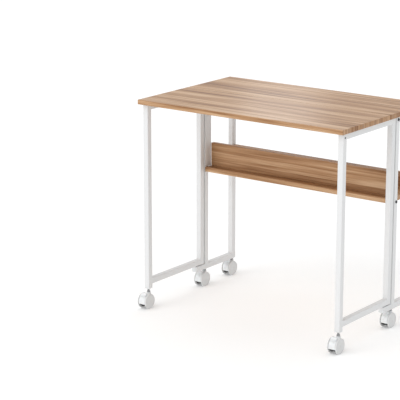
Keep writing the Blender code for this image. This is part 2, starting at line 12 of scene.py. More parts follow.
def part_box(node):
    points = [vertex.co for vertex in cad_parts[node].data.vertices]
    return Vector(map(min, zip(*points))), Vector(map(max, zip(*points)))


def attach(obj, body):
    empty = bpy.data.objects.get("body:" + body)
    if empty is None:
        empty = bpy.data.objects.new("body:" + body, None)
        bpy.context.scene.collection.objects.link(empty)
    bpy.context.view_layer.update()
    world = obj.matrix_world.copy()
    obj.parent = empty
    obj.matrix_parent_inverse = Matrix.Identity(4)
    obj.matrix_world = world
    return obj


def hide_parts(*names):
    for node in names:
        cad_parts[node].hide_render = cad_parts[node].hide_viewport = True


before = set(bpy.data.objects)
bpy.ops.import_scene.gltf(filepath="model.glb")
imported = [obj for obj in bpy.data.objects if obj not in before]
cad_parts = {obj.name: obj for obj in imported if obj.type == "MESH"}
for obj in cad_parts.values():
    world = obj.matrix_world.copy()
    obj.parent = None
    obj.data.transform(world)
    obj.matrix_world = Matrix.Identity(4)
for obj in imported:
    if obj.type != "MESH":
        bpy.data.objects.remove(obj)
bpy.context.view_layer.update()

SIDES = {"left": -1, "right": 1}
CORNERS = ("gate", "front", "back")

# Tube frames
TUBE = 0.020
TUBE_CORNER = 0.0022
CAP = 0.0016
GATE_LIFT = 0.015
FOOT_RAIL = 0.020
PANEL_BAR = 0.003
WELD = 0.0016
PIN_HOLE = 0.0036
PIN_END_GAP = 0.001
CAP_INSET = 0.0003
KNUCKLE_SPLIT = 0.0087
SHOE_RADIUS = 0.0200
SHOE_DEPTH = 0.0068

# Boards and leaf hinges
EDGE_ROUND = 0.0016
SEAM_ROUND = 0.0005
SEAM_RELIEF = 0.0025
SHELF_ROUND = 0.0010
POCKET_GAP = 0.0003
PLATE = 0.0012
KNUCKLE = 0.0020
SCREW_HEAD = 0.0028

# Casters, about the point on the floor below the stem
WHEEL_RADIUS = 0.026
TRAIL = 0.014
HOOD_RADIUS = 0.0253
HOOD_HALF = 0.0125
CHANNEL_RADIUS = 0.0233
CHANNEL_X = 0.0058
AXLE_BORE = 0.0023
STEM_BORE = 0.0043
BOSS_TOP = 0.0535
LEVER_ANGLE = 62
LEVER_PIVOT = 0.0205
LEVER_HALF = 0.0105


# Shader graphs --------------------------------------------------------------------------------

class Graph:
    """One material's nodes, added and linked in short calls."""

    def __init__(self, name):
        self.material = bpy.data.materials.new(name)
        self.material.use_nodes = True
        self.tree = self.material.node_tree
        self.shader = self.tree.nodes["Principled BSDF"]
        self.place = self.tree.nodes.new("ShaderNodeTexCoord")

    def feed(self, socket, value):
        if isinstance(value, bpy.types.NodeSocket):
            self.tree.links.new(value, socket)
        else:
            socket.default_value = value

    def node(self, kind, inputs=None, **settings):
        node = self.tree.nodes.new("ShaderNode" + kind)
        for key, value in settings.items():
            setattr(node, key, value)
        for key, value in (inputs or {}).items():
            self.feed(node.inputs[key], value)
        return node

    def maths(self, operation, *values, clamp=False):
        inputs = dict(enumerate(values))
        return self.node("Math", inputs, operation=operation, use_clamp=clamp).outputs[0]

    def split(self, vector):
        return self.node("SeparateXYZ", {0: vector}).outputs

    def vector(self, x, y, z):
        return self.node("CombineXYZ", {0: x, 1: y, 2: z}).outputs[0]

    def noise(self, vector, stretch, detail=3.0, roughness=0.55):
        """Noise whose grain is 1 / stretch metres along each axis."""
        scaled = self.node("VectorMath", {0: vector, 1: stretch}, operation="MULTIPLY").outputs[0]
        inputs = {"Vector": scaled, "Scale": 1.0, "Detail": detail, "Roughness": roughness}
        return self.node("TexNoise", inputs).outputs["Fac"]

    def step(self, value, low, high):
        """0 below low, 1 above high, smooth between."""
        inputs = {"Value": value, "From Min": low, "From Max": high}
        return self.node("MapRange", inputs, interpolation_type="SMOOTHSTEP").outputs[0]

    def spread(self, value, low, high):
        """Turn 0 to 1 into low to high."""
        return self.node("MapRange", {"Value": value, "To Min": low, "To Max": high}).outputs[0]

    def ramp(self, value, stops):
        node = self.node("ValToRGB", {0: value})
        elements = node.color_ramp.elements
        while len(elements) < len(stops):
            elements.new(0.5)
        for element, (position, colour) in zip(elements, stops):
            element.position = position
            element.color = (*colour, 1.0)
        return node.outputs[0]

    def mix(self, factor, first, second, blend="MIX"):
        node = self.node("Mix", {0: factor}, data_type="RGBA", blend_type=blend)
        for index, value in ((6, first), (7, second)):
            self.feed(node.inputs[index], (*value, 1.0) if isinstance(value, tuple) else value)
        return node.outputs[2]

    def bump(self, height, distance, below=None):
        inputs = {"Height": height, "Distance": distance, "Strength": 1.0}
        if below is not None:
            inputs["Normal"] = below
        return self.node("Bump", inputs).outputs[0]

    def finish(self, colour, roughness, normal, specular=0.5, metallic=0.0, subsurface=0.0):
        self.feed(self.shader.inputs["Base Color"], colour)
        self.feed(self.shader.inputs["Roughness"], roughness)
        self.feed(self.shader.inputs["Normal"], normal)
        self.shader.inputs["Specular IOR Level"].default_value = specular
        self.shader.inputs["Metallic"].default_value = metallic
        self.shader.inputs["Subsurface Weight"].default_value = subsurface
        return self.material


# Materials ------------------------------------------------------------------------------------

OAK_STOPS = [(0.04, (0.136, 0.053, 0.019)), (0.28, (0.238, 0.112, 0.047)), (0.52, (0.368, 0.196, 0.094)),
             (0.74, (0.478, 0.279, 0.147)), (0.96, (0.620, 0.412, 0.252))]
OAK_PORE = (0.150, 0.078, 0.040)
OAK_END = (0.300, 0.165, 0.092)
STRIP = 0.031
FLOOR_GLOW = 0.16


def wood_places(graph):
    """Grain coordinates: x along the grain and a distance across it, on faces of any direction."""
    x, y, z = graph.split(graph.place.outputs["Object"])
    turn = graph.split(graph.place.outputs["Normal"])
    end = graph.step(graph.maths("ABSOLUTE", turn[0]), 0.55, 0.80)
    flat = graph.step(graph.maths("ABSOLUTE", turn[2]), 0.55, 0.80)
    upright = graph.maths("SUBTRACT", 1.0, graph.maths("MAXIMUM", end, flat))
    across = graph.maths("ADD", y, graph.maths("MULTIPLY", z, upright))
    return x, across, end, upright


def oak(name, seed, lighten=0.0, contrast=4.2):
    """Light oak foil: strips of straight grain, long darker streaks, fine fibres and short pores."""
    graph = Graph(name)
    x, across, end, upright = wood_places(graph)
    wander = graph.noise(graph.vector(x, across, seed), (1.6, 6.0, 1.0), 2.0)
    bent = graph.maths("ADD", across, graph.maths("MULTIPLY", wander, 0.016))
    strip = graph.maths("FLOOR", graph.maths("DIVIDE", graph.maths("ADD", across, seed), STRIP))
    strip_tone = graph.node("TexWhiteNoise", {"W": strip}, noise_dimensions="1D").outputs["Value"]
    shifted = graph.maths("ADD", x, graph.maths("MULTIPLY", strip_tone, 3.0))
    place = graph.vector(shifted, bent, seed)
    broad = graph.noise(place, (0.9, 26.0, 1.0), 2.0)
    middle = graph.noise(place, (2.4, 72.0, 4.0), 3.0, 0.60)
    streak = graph.noise(place, (2.4, 170.0, 1.0), 4.0, 0.62)
    fibre = graph.noise(place, (14.0, 900.0, 1.0), 2.0)
    pore = graph.step(graph.noise(place, (60.0, 1500.0, 1.0), 1.0), 0.66, 0.76)
    growth = graph.maths("SINE", graph.maths("MULTIPLY", bent, 2 * math.pi / 0.0125))
    lines = graph.maths("POWER", graph.maths("ABSOLUTE", growth), 6.0)
    tone = graph.maths("MULTIPLY", broad, 0.24)
    tone = graph.maths("ADD", tone, graph.maths("MULTIPLY", middle, 0.42))
    tone = graph.maths("ADD", tone, graph.maths("MULTIPLY", streak, 0.28))
    tone = graph.maths("ADD", tone, graph.maths("MULTIPLY", strip_tone, 0.08))
    tone = graph.maths("ADD", tone, graph.maths("MULTIPLY", fibre, 0.10))
    soft_lines = graph.maths("MULTIPLY", lines, graph.maths("MULTIPLY", wander, 0.05))
    tone = graph.maths("SUBTRACT", tone, soft_lines)
    tone = graph.maths("ADD", tone, lighten - 0.02)
    tone = graph.maths("ADD", tone, graph.maths("MULTIPLY", upright, -0.012))
    spread = graph.maths("MULTIPLY", graph.maths("SUBTRACT", tone, 0.5), contrast)
    stretched = graph.maths("ADD", spread, 0.5)
    colour = graph.ramp(stretched, OAK_STOPS)
    colour = graph.mix(graph.maths("MULTIPLY", pore, 0.35), colour, OAK_PORE)
    dark_ends = graph.maths("MULTIPLY", end, graph.step(middle, 0.42, 0.60))
    colour = graph.mix(graph.maths("MULTIPLY", dark_ends, 0.80), colour, OAK_END)
    roughness = graph.spread(fibre, 0.30, 0.44)
    height = graph.maths("ADD", graph.maths("MULTIPLY", fibre, 0.6), graph.maths("MULTIPLY", pore, -0.8))
    return graph.finish(colour, roughness, graph.bump(height, 0.00006), specular=0.20)


def powder_coat(name):
    """White powder coat: orange peel, faint handling marks and a little grime towards the floor."""
    graph = Graph(name)
    place = graph.place.outputs["Object"]
    peel = graph.noise(place, (950.0, 950.0, 950.0), 2.0)
    cloud = graph.noise(place, (9.0, 9.0, 5.0), 3.0)
    rub = graph.step(graph.noise(place, (55.0, 55.0, 18.0), 4.0, 0.7), 0.60, 0.74)
    low = graph.step(graph.split(place)[2], 0.30, 0.05)
    colour = graph.mix(graph.spread(cloud, 0.0, 0.7), (0.735, 0.738, 0.738), (0.700, 0.703, 0.704))
    grime = graph.maths("MULTIPLY", rub, graph.spread(low, 0.04, 0.16))
    colour = graph.mix(grime, colour, (0.560, 0.545, 0.520))
    roughness = graph.maths("ADD", graph.spread(peel, 0.30, 0.40), graph.maths("MULTIPLY", rub, 0.10))
    return graph.finish(colour, roughness, graph.bump(peel, 0.00005), specular=0.5)


def moulded_plastic(name, light, shade, grain):
    """Injection-moulded plastic with a fine spark-eroded grain and soft colour variation."""
    graph = Graph(name)
    place = graph.place.outputs["Object"]
    fine = graph.noise(place, (grain, grain, grain), 2.0)
    cloud = graph.noise(place, (70.0, 70.0, 70.0), 3.0)
    scuff = graph.step(graph.noise(place, (260.0, 900.0, 260.0), 3.0, 0.7), 0.62, 0.75)
    colour = graph.mix(cloud, light, shade)
    colour = graph.mix(graph.maths("MULTIPLY", scuff, 0.12), colour, (0.45, 0.44, 0.42))
    roughness = graph.maths("ADD", graph.spread(fine, 0.28, 0.42), graph.maths("MULTIPLY", scuff, 0.15))
    return graph.finish(colour, roughness, graph.bump(fine, 0.00003), subsurface=0.03)


def wheel_plastic(name):
    """A light grey disc inside a whiter, slightly scuffed rim, with a black core behind the rim."""
    graph = Graph(name)
    place = graph.place.outputs["Object"]
    x, y, z = graph.split(place)
    radius = graph.node("VectorMath", {0: graph.vector(0.0, y, z)}, operation="LENGTH").outputs["Value"]
    rim = graph.step(radius, 0.0236, 0.0240)
    core = graph.step(graph.maths("ABSOLUTE", x), 0.0134, 0.0130)
    fine = graph.noise(place, (1400.0, 1400.0, 1400.0), 2.0)
    dust = graph.noise(place, (240.0, 240.0, 240.0), 4.0, 0.65)
    spun = graph.noise(graph.vector(radius, 0.0, 0.0), (2600.0, 1.0, 1.0), 2.0)
    colour = graph.mix(dust, (0.700, 0.702, 0.700), (0.640, 0.642, 0.640))
    colour = graph.mix(rim, colour, graph.mix(dust, (0.800, 0.802, 0.800), (0.700, 0.698, 0.690)))
    colour = graph.mix(core, colour, graph.mix(dust, (0.050, 0.050, 0.050), (0.028, 0.028, 0.028)))
    roughness = graph.maths("ADD", graph.spread(dust, 0.34, 0.46), graph.maths("MULTIPLY", rim, 0.14))
    height = graph.maths("ADD", graph.maths("MULTIPLY", fine, 0.5), graph.maths("MULTIPLY", spun, 0.5))
    return graph.finish(colour, roughness, graph.bump(height, 0.00003))


def steel(name, light, shade, rough_low, rough_high):
    """Plated or oxide-black steel with fine drawn scratches and blotches."""
    graph = Graph(name)
    place = graph.place.outputs["Object"]
    blotch = graph.noise(place, (420.0, 420.0, 420.0), 4.0, 0.6)
    drawn = graph.noise(place, (300.0, 6000.0, 6000.0), 2.0)
    colour = graph.mix(blotch, light, shade)
    roughness = graph.spread(blotch, rough_low, rough_high)
    height = graph.maths("ADD", graph.maths("MULTIPLY", drawn, 0.6), graph.maths("MULTIPLY", blotch, 0.4))
    return graph.finish(colour, roughness, graph.bump(height, 0.00002), metallic=1.0)


def studio_floor(name):
    graph = Graph(name)
    place = graph.place.outputs["Object"]
    tint = graph.mix(graph.noise(place, (0.8, 0.8, 0.8), 2.0), (0.94, 0.94, 0.935), (0.92, 0.92, 0.915))
    graph.feed(graph.shader.inputs["Emission Color"], tint)
    graph.shader.inputs["Emission Strength"].default_value = FLOOR_GLOW
    return graph.finish(tint, 0.75, graph.bump(graph.noise(place, (90.0, 90.0, 90.0), 2.0), 0.0001),
                        specular=0.1)


# Meshes ---------------------------------------------------------------------------------------

def mesh_from(bm, name):
    bmesh.ops.recalc_face_normals(bm, faces=bm.faces)
    mesh = bpy.data.meshes.new(name)
    bm.to_mesh(mesh)
    bm.free()
    return mesh


def held(mesh):
    """A passing object that holds a mesh while modifiers work on it."""
    obj = bpy.data.objects.new(mesh.name, mesh)
    bpy.context.scene.collection.objects.link(obj)
    return obj


def evaluated(obj, name):
    graph = bpy.context.evaluated_depsgraph_get()
    mesh = bpy.data.meshes.new_from_object(obj.evaluated_get(graph), depsgraph=graph)
    mesh.name = name
    bpy.data.objects.remove(obj)
    return mesh


def shaded(mesh, name, sharp=38):
    """Smooth the rounded edges only, and keep the flat faces flat."""
    mesh.shade_smooth()
    mesh.set_sharp_from_angle(angle=math.radians(sharp))
    obj = held(mesh)
    normals = obj.modifiers.new("Normals", "WEIGHTED_NORMAL")
    normals.keep_sharp = True
    return evaluated(obj, name)


def combined(name, base, joined=(), removed=()):
    """One mesh: base with other meshes joined to it, and then others cut away."""
    obj = held(base)
    tools = []
    for operation, meshes in (("UNION", joined), ("DIFFERENCE", removed)):
        for mesh in meshes:
            tools.append(held(mesh))
            modifier = obj.modifiers.new(operation, "BOOLEAN")
            modifier.operation = operation
            modifier.solver = "EXACT"
            modifier.object = tools[-1]
    mesh = evaluated(obj, name)
    for tool in tools:
        bpy.data.objects.remove(tool)
    return shaded(mesh, name)


def gathered(name, meshes):
    """Separate closed bodies kept in one mesh."""
    bm = bmesh.new()
    for mesh in meshes:
        bm.from_mesh(mesh)
    return shaded(mesh_from(bm, name), name)


def moved(mesh, place, turn=None):
    mesh = mesh.copy()
    mesh.transform(Matrix.Translation(place) @ (turn or Matrix.Identity(4)))
    return mesh


def box(low, high, radius=0.0, along=None, segments=4):
    """A box; its edges, or only those along one axis, are rounded by radius."""
    bm = bmesh.new()
    size = [b - a for a, b in zip(low, high)]
    middle = [(a + b) / 2 for a, b in zip(low, high)]
    bmesh.ops.create_cube(bm, size=1.0, matrix=Matrix.Translation(middle) @ Matrix.Diagonal((*size, 1.0)))
    if radius:
        edges = [edge for edge in bm.edges
                 if along is None or abs((edge.verts[0].co - edge.verts[1].co).normalized()[along]) > 0.9]
        bmesh.ops.bevel(bm, geom=edges, offset=radius, segments=segments, profile=0.5, affect="EDGES")
    return mesh_from(bm, "box")


def prism(outline, x_low, x_high, end_round=0.0, segments=2):
    """A closed (y, z) outline drawn out along X, with its end edges rounded."""
    bm = bmesh.new()
    face = bm.faces.new([bm.verts.new((x_low, y, z)) for y, z in outline])
    grown = bmesh.ops.extrude_face_region(bm, geom=[face])
    shifted = [item for item in grown["geom"] if isinstance(item, bmesh.types.BMVert)]
    bmesh.ops.translate(bm, verts=shifted, vec=(x_high - x_low, 0, 0))
    bmesh.ops.recalc_face_normals(bm, faces=bm.faces)
    if end_round:
        edges = [edge for edge in bm.edges if abs(edge.verts[0].co.x - edge.verts[1].co.x) < 1e-6]
        bmesh.ops.bevel(bm, geom=edges, offset=end_round, segments=segments, profile=0.5, affect="EDGES")
    return mesh_from(bm, "prism")


def round_shape(angle):
    return 1.0


def hexagon(angle):
    """Radius of a hexagon at an angle, as a share of the radius across its flats."""
    return 1 / math.cos((angle % (math.pi / 3)) - math.pi / 6)


def knurled(angle):
    return 1.0 - 0.035 * (0.5 + 0.5 * math.cos(24 * angle)) ** 2


def turned(profile, segments=48, axis="Z"):
    """A body turned about an axis from (along, radius) points, or (along, radius, shape) ones."""
    bm = bmesh.new()
    rings = []
    for along, radius, *rest in profile:
        shape = rest[0] if rest else round_shape
        if radius == 0:
            rings.append([bm.verts.new((0, 0, along))])
            continue
        ring = []
        for step in range(segments):
            angle = 2 * math.pi * step / segments
            reach = radius * shape(angle)
            ring.append(bm.verts.new((reach * math.cos(angle), reach * math.sin(angle), along)))
        rings.append(ring)
    closed = len(rings[0]) > 1
    for lower, upper in zip(rings, rings[1:] + rings[:1]) if closed else zip(rings, rings[1:]):
        for step in range(segments):
            after = (step + 1) % segments
            corners = [lower[step % len(lower)], lower[after % len(lower)],
                       upper[after % len(upper)], upper[step % len(upper)]]
            bm.faces.new(list(dict.fromkeys(corners)))
    if axis == "X":
        bmesh.ops.rotate(bm, verts=bm.verts, matrix=Matrix.Rotation(math.pi / 2, 3, "Y"))
    if axis == "Y":
        bmesh.ops.rotate(bm, verts=bm.verts, matrix=Matrix.Rotation(-math.pi / 2, 3, "X"))
    return mesh_from(bm, "turned")


def rod(start, end, radius, segments=48, axis="Z"):
    return turned([(start, 0), (start, radius), (end, radius), (end, 0)], segments, axis)


def piece(name, mesh, material, body, replaced=(), place=(0, 0, 0)):
    """A visible piece of the model, riding on its body."""
    if not mesh.materials:
        mesh.materials.append(material)
    elif mesh.materials[0] is None:
        mesh.materials[0] = material
    obj = bpy.data.objects.new(name, mesh)
    bpy.context.scene.collection.objects.link(obj)
    obj.location = place
    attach(obj, body)
    if replaced:
        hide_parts(*replaced)
    return obj


def centre(node):
    low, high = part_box(node)
    return (low + high) / 2


# Frames ---------------------------------------------------------------------------------------

def tube(low, high, along):
    return box(low, high, TUBE_CORNER, along)


def weld(x_low, x_high, y, z):
    """A rippled weld bead along X in an inside corner."""
    bm = bmesh.new()
    stations = 40
    around = 12
    rings = []
    for number in range(stations + 1):
        share = number / stations
        x = x_low + (x_high - x_low) * share
        swell = math.sin(math.pi * min(1, 8 * share, 8 * (1 - share)) / 2)
        radius = WELD * (0.25 + 0.75 * swell) * (1 + 0.10 * math.cos(2 * math.pi * share * 9))
        rings.append([bm.verts.new((x, y + radius * math.cos(2 * math.pi * step / around),
                                    z + radius * math.sin(2 * math.pi * step / around)))
                      for step in range(around)])
    for first, second in zip(rings, rings[1:]):
        for step in range(around):
            after = (step + 1) % around
            bm.faces.new((first[step], first[after], second[after], second[step]))
    bm.faces.new(rings[0][::-1])
    bm.faces.new(rings[-1])
    return mesh_from(bm, "weld")


def end_cap(low, high, hole=None, radius=0.0, axis="Z"):
    """A thin plastic plug across a tube's open end, with a hole for a stem or a pin."""
    cap = box(low, high, 0.0006, None, 2)
    if hole is None:
        return shaded(cap, "cap")
    drill = moved(rod(-TUBE, TUBE, radius, 32, axis), hole)
    return combined("cap", cap, removed=[drill])


def pivot_holes(side):
    """Drills for the holes that the gate's two pivot pins turn in, through to past each pin's end."""
    top_low, top_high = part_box(f"{side}_gate_top_pin")
    bottom_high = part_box(f"{side}_gate_bottom_pin")[1]
    reaches = {"top": (top_low.z - PIN_END_GAP, top_high.z), "bottom": (0, bottom_high.z + PIN_END_GAP)}
    return [moved(rod(*reach, PIN_HOLE, 32), (*centre(f"{side}_gate_{end}_pin").xy, 0))
            for end, reach in reaches.items()]


def gate(side, paint, plastic, black):
    body = f"{side}_gate"
    low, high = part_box(f"{side}_gate_frame")
    half = TUBE / 2
    rail_low = low.z + GATE_LIFT
    leg = tube((low.x, low.y, low.z + CAP), (high.x, low.y + TUBE, high.z), 2)
    upright = tube((low.x, high.y - TUBE, rail_low + CAP), (high.x, high.y, high.z), 2)
    rails = [tube((low.x, low.y + half, z), (high.x, high.y - half, z + TUBE), 1)
             for z in (rail_low, high.z - TUBE)]
    mesh = combined(f"{side}_gate_tubes", leg, joined=[upright] + rails, removed=pivot_holes(side))
    piece(f"{side}_gate_tubes", mesh, paint, body, [f"{side}_gate_frame"])
    inset = TUBE_CORNER
    beads = []
    for y in (low.y + TUBE, high.y - TUBE):
        for z in (rail_low, rail_low + TUBE, high.z - TUBE):
            if z == rail_low and y > low.y + TUBE:
                continue
            beads.append(weld(low.x + inset, high.x - inset, y, z))
    piece(f"{side}_gate_welds", gathered(f"{side}_gate_welds", beads), paint, body)
    stem = centre(f"{side}_gate_caster_stem")
    pin = centre(f"{side}_gate_bottom_pin")
    slim = CAP_INSET
    caps = [end_cap((low.x + slim, low.y + slim, low.z),
                    (high.x - slim, low.y + TUBE - slim, low.z + CAP + slim),
                    stem, STEM_BORE),
            end_cap((low.x + slim, high.y - TUBE + slim, rail_low),
                    (high.x - slim, high.y - slim, rail_low + CAP + slim), pin, PIN_HOLE)]
    piece(f"{side}_gate_caps", gathered(f"{side}_gate_caps", caps), plastic, body)
    sign = SIDES[side]
    outer = high.x if sign > 0 else low.x
    rivet = [(-0.0004, 0), (-0.0004, 0.0030), (0.0005, 0.0029), (0.0009, 0.0024), (0.0010, 0.0014),
             (0.0006, 0.0011), (0.0003, 0)]
    turn = Matrix.Rotation(0 if sign > 0 else math.pi, 4, "Z")
    head = moved(turned(rivet, 32, "X"), (outer, low.y + half, high.z - 0.0135), turn)
    piece(f"{side}_gate_rivet", shaded(head, f"{side}_gate_rivet"), black, body)


def end_frame(side, paint, plastic):
    body = "table_frame"
    sign = SIDES[side]
    low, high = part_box(f"{side}_end_frame")
    front_y = centre(f"{side}_front_caster_stem").y
    back_y = centre(f"{side}_back_caster_stem").y
    half = TUBE / 2
    rail_top = low.z + FOOT_RAIL
    foot = tube((low.x, low.y + CAP, low.z), (high.x, high.y - CAP, rail_top), 1)
    uprights = [tube((low.x, y - half, rail_top - half), (high.x, y + half, high.z), 2)
                for y in (front_y, back_y)]
    top = tube((low.x, front_y, high.z - TUBE), (high.x, back_y, high.z), 1)
    inner = low.x if sign > 0 else high.x
    shelf_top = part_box("shelf_board")[1].z
    panel_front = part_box("front_panel")[0].y
    bar_x = sorted((inner, inner + sign * PANEL_BAR))
    bar = box((bar_x[0], front_y + half - TUBE_CORNER - 0.001, shelf_top + POCKET_GAP),
              (bar_x[1], panel_front - POCKET_GAP, high.z - TUBE + 0.001), 0.0005, 2, 2)
    mesh = combined(f"{side}_end_tubes", foot, joined=uprights + [top, bar])
    piece(f"{side}_end_tubes", mesh, paint, body, [f"{side}_end_frame"])
    inset = TUBE_CORNER
    corners = [(front_y - half, rail_top), (front_y + half, rail_top), (back_y - half, rail_top),
               (front_y + half, high.z - TUBE), (back_y - half, high.z - TUBE)]
    beads = [weld(low.x + inset, high.x - inset, y, z) for y, z in corners]
    piece(f"{side}_end_welds", gathered(f"{side}_end_welds", beads), paint, body)
    slim = CAP_INSET
    caps = [end_cap((low.x + slim, y, low.z + slim), (high.x - slim, y + CAP + slim, rail_top - slim))
            for y in (low.y, high.y - CAP - slim)]
    piece(f"{side}_end_caps", gathered(f"{side}_end_caps", caps), plastic, body)
    heads = []
    for share in (0.18, 0.50, 0.82):
        z = shelf_top + (high.z - TUBE - shelf_top) * share
        profile = [(-0.0003, 0), (-0.0003, 0.0022), (0.0003, 0.0021), (0.0008, 0.0014), (0.0009, 0)]
        rivet = turned(profile, 24, "X")
        turn = Matrix.Rotation(math.pi if sign > 0 else 0, 4, "Z")
        heads.append(moved(rivet, (inner, (front_y + half + panel_front) / 2, z), turn))
    piece(f"{side}_bar_rivets", gathered(f"{side}_bar_rivets", heads), paint, body)


def cross_rail(paint):
    low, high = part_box("top_cross_rail")
    mesh = shaded(tube(low, high, 0), "cross_tube")
    piece("cross_tube", mesh, paint, "table_frame", ["top_cross_rail"])


def socket_bolts(black):
    """Knurled socket heads with a hexagon recess, on thin washers."""
    for side, sign in SIDES.items():
        for level in ("shelf", "rail"):
            node = f"{side}_{level}_bolt"
            low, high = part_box(node)
            place = (low + high) / 2
            outer = high.x if sign > 0 else -low.x
            seat = outer - 0.0030
            profile = [(seat - 0.030, 0), (seat - 0.030, 0.003), (seat, 0.003), (seat, 0.0046),
                       (seat + 0.0003, 0.0048, knurled), (seat + 0.0022, 0.0048, knurled),
                       (seat + 0.0027, 0.0045), (seat + 0.0030, 0.0039), (seat + 0.0030, 0.0027),
                       (seat + 0.0028, 0.0021, hexagon), (seat + 0.0012, 0.0020, hexagon),
                       (seat + 0.0009, 0)]
            mesh = turned(profile, 96, "X")
            turn = Matrix.Rotation(0 if sign > 0 else math.pi, 4, "Z")
            mesh = moved(mesh, (0, place.y, place.z), turn)
            piece(f"{side}_{level}_socket_bolt", shaded(mesh, node), black, "table_frame",
                  [node])


# Boards ---------------------------------------------------------------------------------------

def board_outline(low, high, rounds):
    """A board's (y, z) section; rounds gives its four corner radii, from low y and low z round."""
    corners = [(low.y, low.z, 1, 1), (high.y, low.z, -1, 1),
               (high.y, high.z, -1, -1), (low.y, high.z, 1, -1)]
    steps = 4
    outline = []
    for number, ((y, z, inward_y, inward_z), radius) in enumerate(zip(corners, rounds)):
        for step in range(steps + 1):
            turn = math.pi + number * math.pi / 2 + step * math.pi / 2 / steps
            outline.append((y + inward_y * radius + radius * math.cos(turn),
                            z + inward_z * radius + radius * math.sin(turn)))
    return outline


def board(node, name, wood, body, rounds, end_round=0.0008, removed=()):
    low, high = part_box(node)
    mesh = prism(board_outline(low, high, rounds), low.x, high.x, end_round)
    piece(name, combined(name, mesh, removed=removed), wood, body, [node])


def hinge_pockets(towards):
    """Boxes that let the hinges into a board's underside."""
    cuts = []
    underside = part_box("fixed_top")[0].z
    for side in SIDES:
        axis = centre(f"{side}_hinge_pin")
        kind = "fixed" if towards > 0 else "leaf"
        plate_low, plate_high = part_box(f"{side}_hinge_{kind}_plate")
        far = plate_high.y + POCKET_GAP if towards > 0 else plate_low.y - POCKET_GAP
        x_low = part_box(f"{side}_hinge_fixed_plate")[0].x - POCKET_GAP
        x_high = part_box(f"{side}_hinge_fixed_plate")[1].x + POCKET_GAP
        near = axis.y - towards * 0.001
        y_plate = sorted((near, far))
        y_knuckle = sorted((near, axis.y + towards * (KNUCKLE + 0.001)))
        cuts.append(box((x_low, y_plate[0], underside - 0.002), (x_high, y_plate[1], underside + 0.0017)))
        cuts.append(box((x_low, y_knuckle[0], underside - 0.003),
                        (x_high, y_knuckle[1], axis.z + KNUCKLE + 0.0005)))
    return cuts


def boards():
    # The fixed top and the leaf share one oak grain (seed 7.31). The leaf's copy is lightened by 0.040 as a
    # painted sheen on the front of the top. The fixed top's copy is darkened by 0.004 as painted shade
    # towards its back.
    board("fixed_top", "fixed_top_board", oak("oak_fixed_top_painted_shade", 7.31, -0.004), "table_frame",
          (SEAM_RELIEF, EDGE_ROUND, EDGE_ROUND, SEAM_ROUND), removed=hinge_pockets(1))
    board("drop_leaf", "drop_leaf_board", oak("oak_leaf_painted_sheen", 7.31, 0.040), "leaf",
          (EDGE_ROUND, SEAM_RELIEF, SEAM_ROUND, EDGE_ROUND), removed=hinge_pockets(-1))
    board("shelf_board", "shelf_plank", oak("oak_shelf", 2.11, 0.036, 3.4), "table_frame",
          (SHELF_ROUND,) * 4, 0.0004)
    board("front_panel", "shelf_front", oak("oak_panel", 3.49, 0.018, 3.0), "table_frame",
          (SHELF_ROUND,) * 4, 0.0004)
    board("back_board", "shelf_back", oak("oak_back", 5.23, 0.0, 3.4), "table_frame",
          (SHELF_ROUND,) * 4, 0.0004)


def cross_recess():
    """A tool shaped like a cross-head screwdriver's tip, pointing up."""
    bars = [box((-0.0013, -0.00028, -0.001), (0.0013, 0.00028, 0.0009)),
            box((-0.00028, -0.0013, -0.001), (0.00028, 0.0013, 0.0009))]
    return bars


def countersunk_screw():
    """A flat-head screw seen from below: its head's face at z = 0 and its cone above it."""
    cone = turned([(0, 0), (0, SCREW_HEAD), (0.0002, SCREW_HEAD), (0.0013, 0.0014),
                   (0.006, 0.0013), (0.006, 0)])
    return combined("screw", cone, removed=cross_recess())


def shelf_screws(zinc):
    """Screws that come up through the shelf into the front panel and the back board."""
    screw = countersunk_screw()
    low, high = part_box("shelf_board")
    places = []
    for node in ("front_panel", "back_board"):
        for share in (0.12, 0.5, 0.88):
            places.append((low.x + (high.x - low.x) * share, centre(node).y, low.z - 0.0002))
    piece("shelf_screws", gathered("shelf_screws", [moved(screw, place) for place in places]), zinc,
          "table_frame")


# Leaf hinges ----------------------------------------------------------------------------------

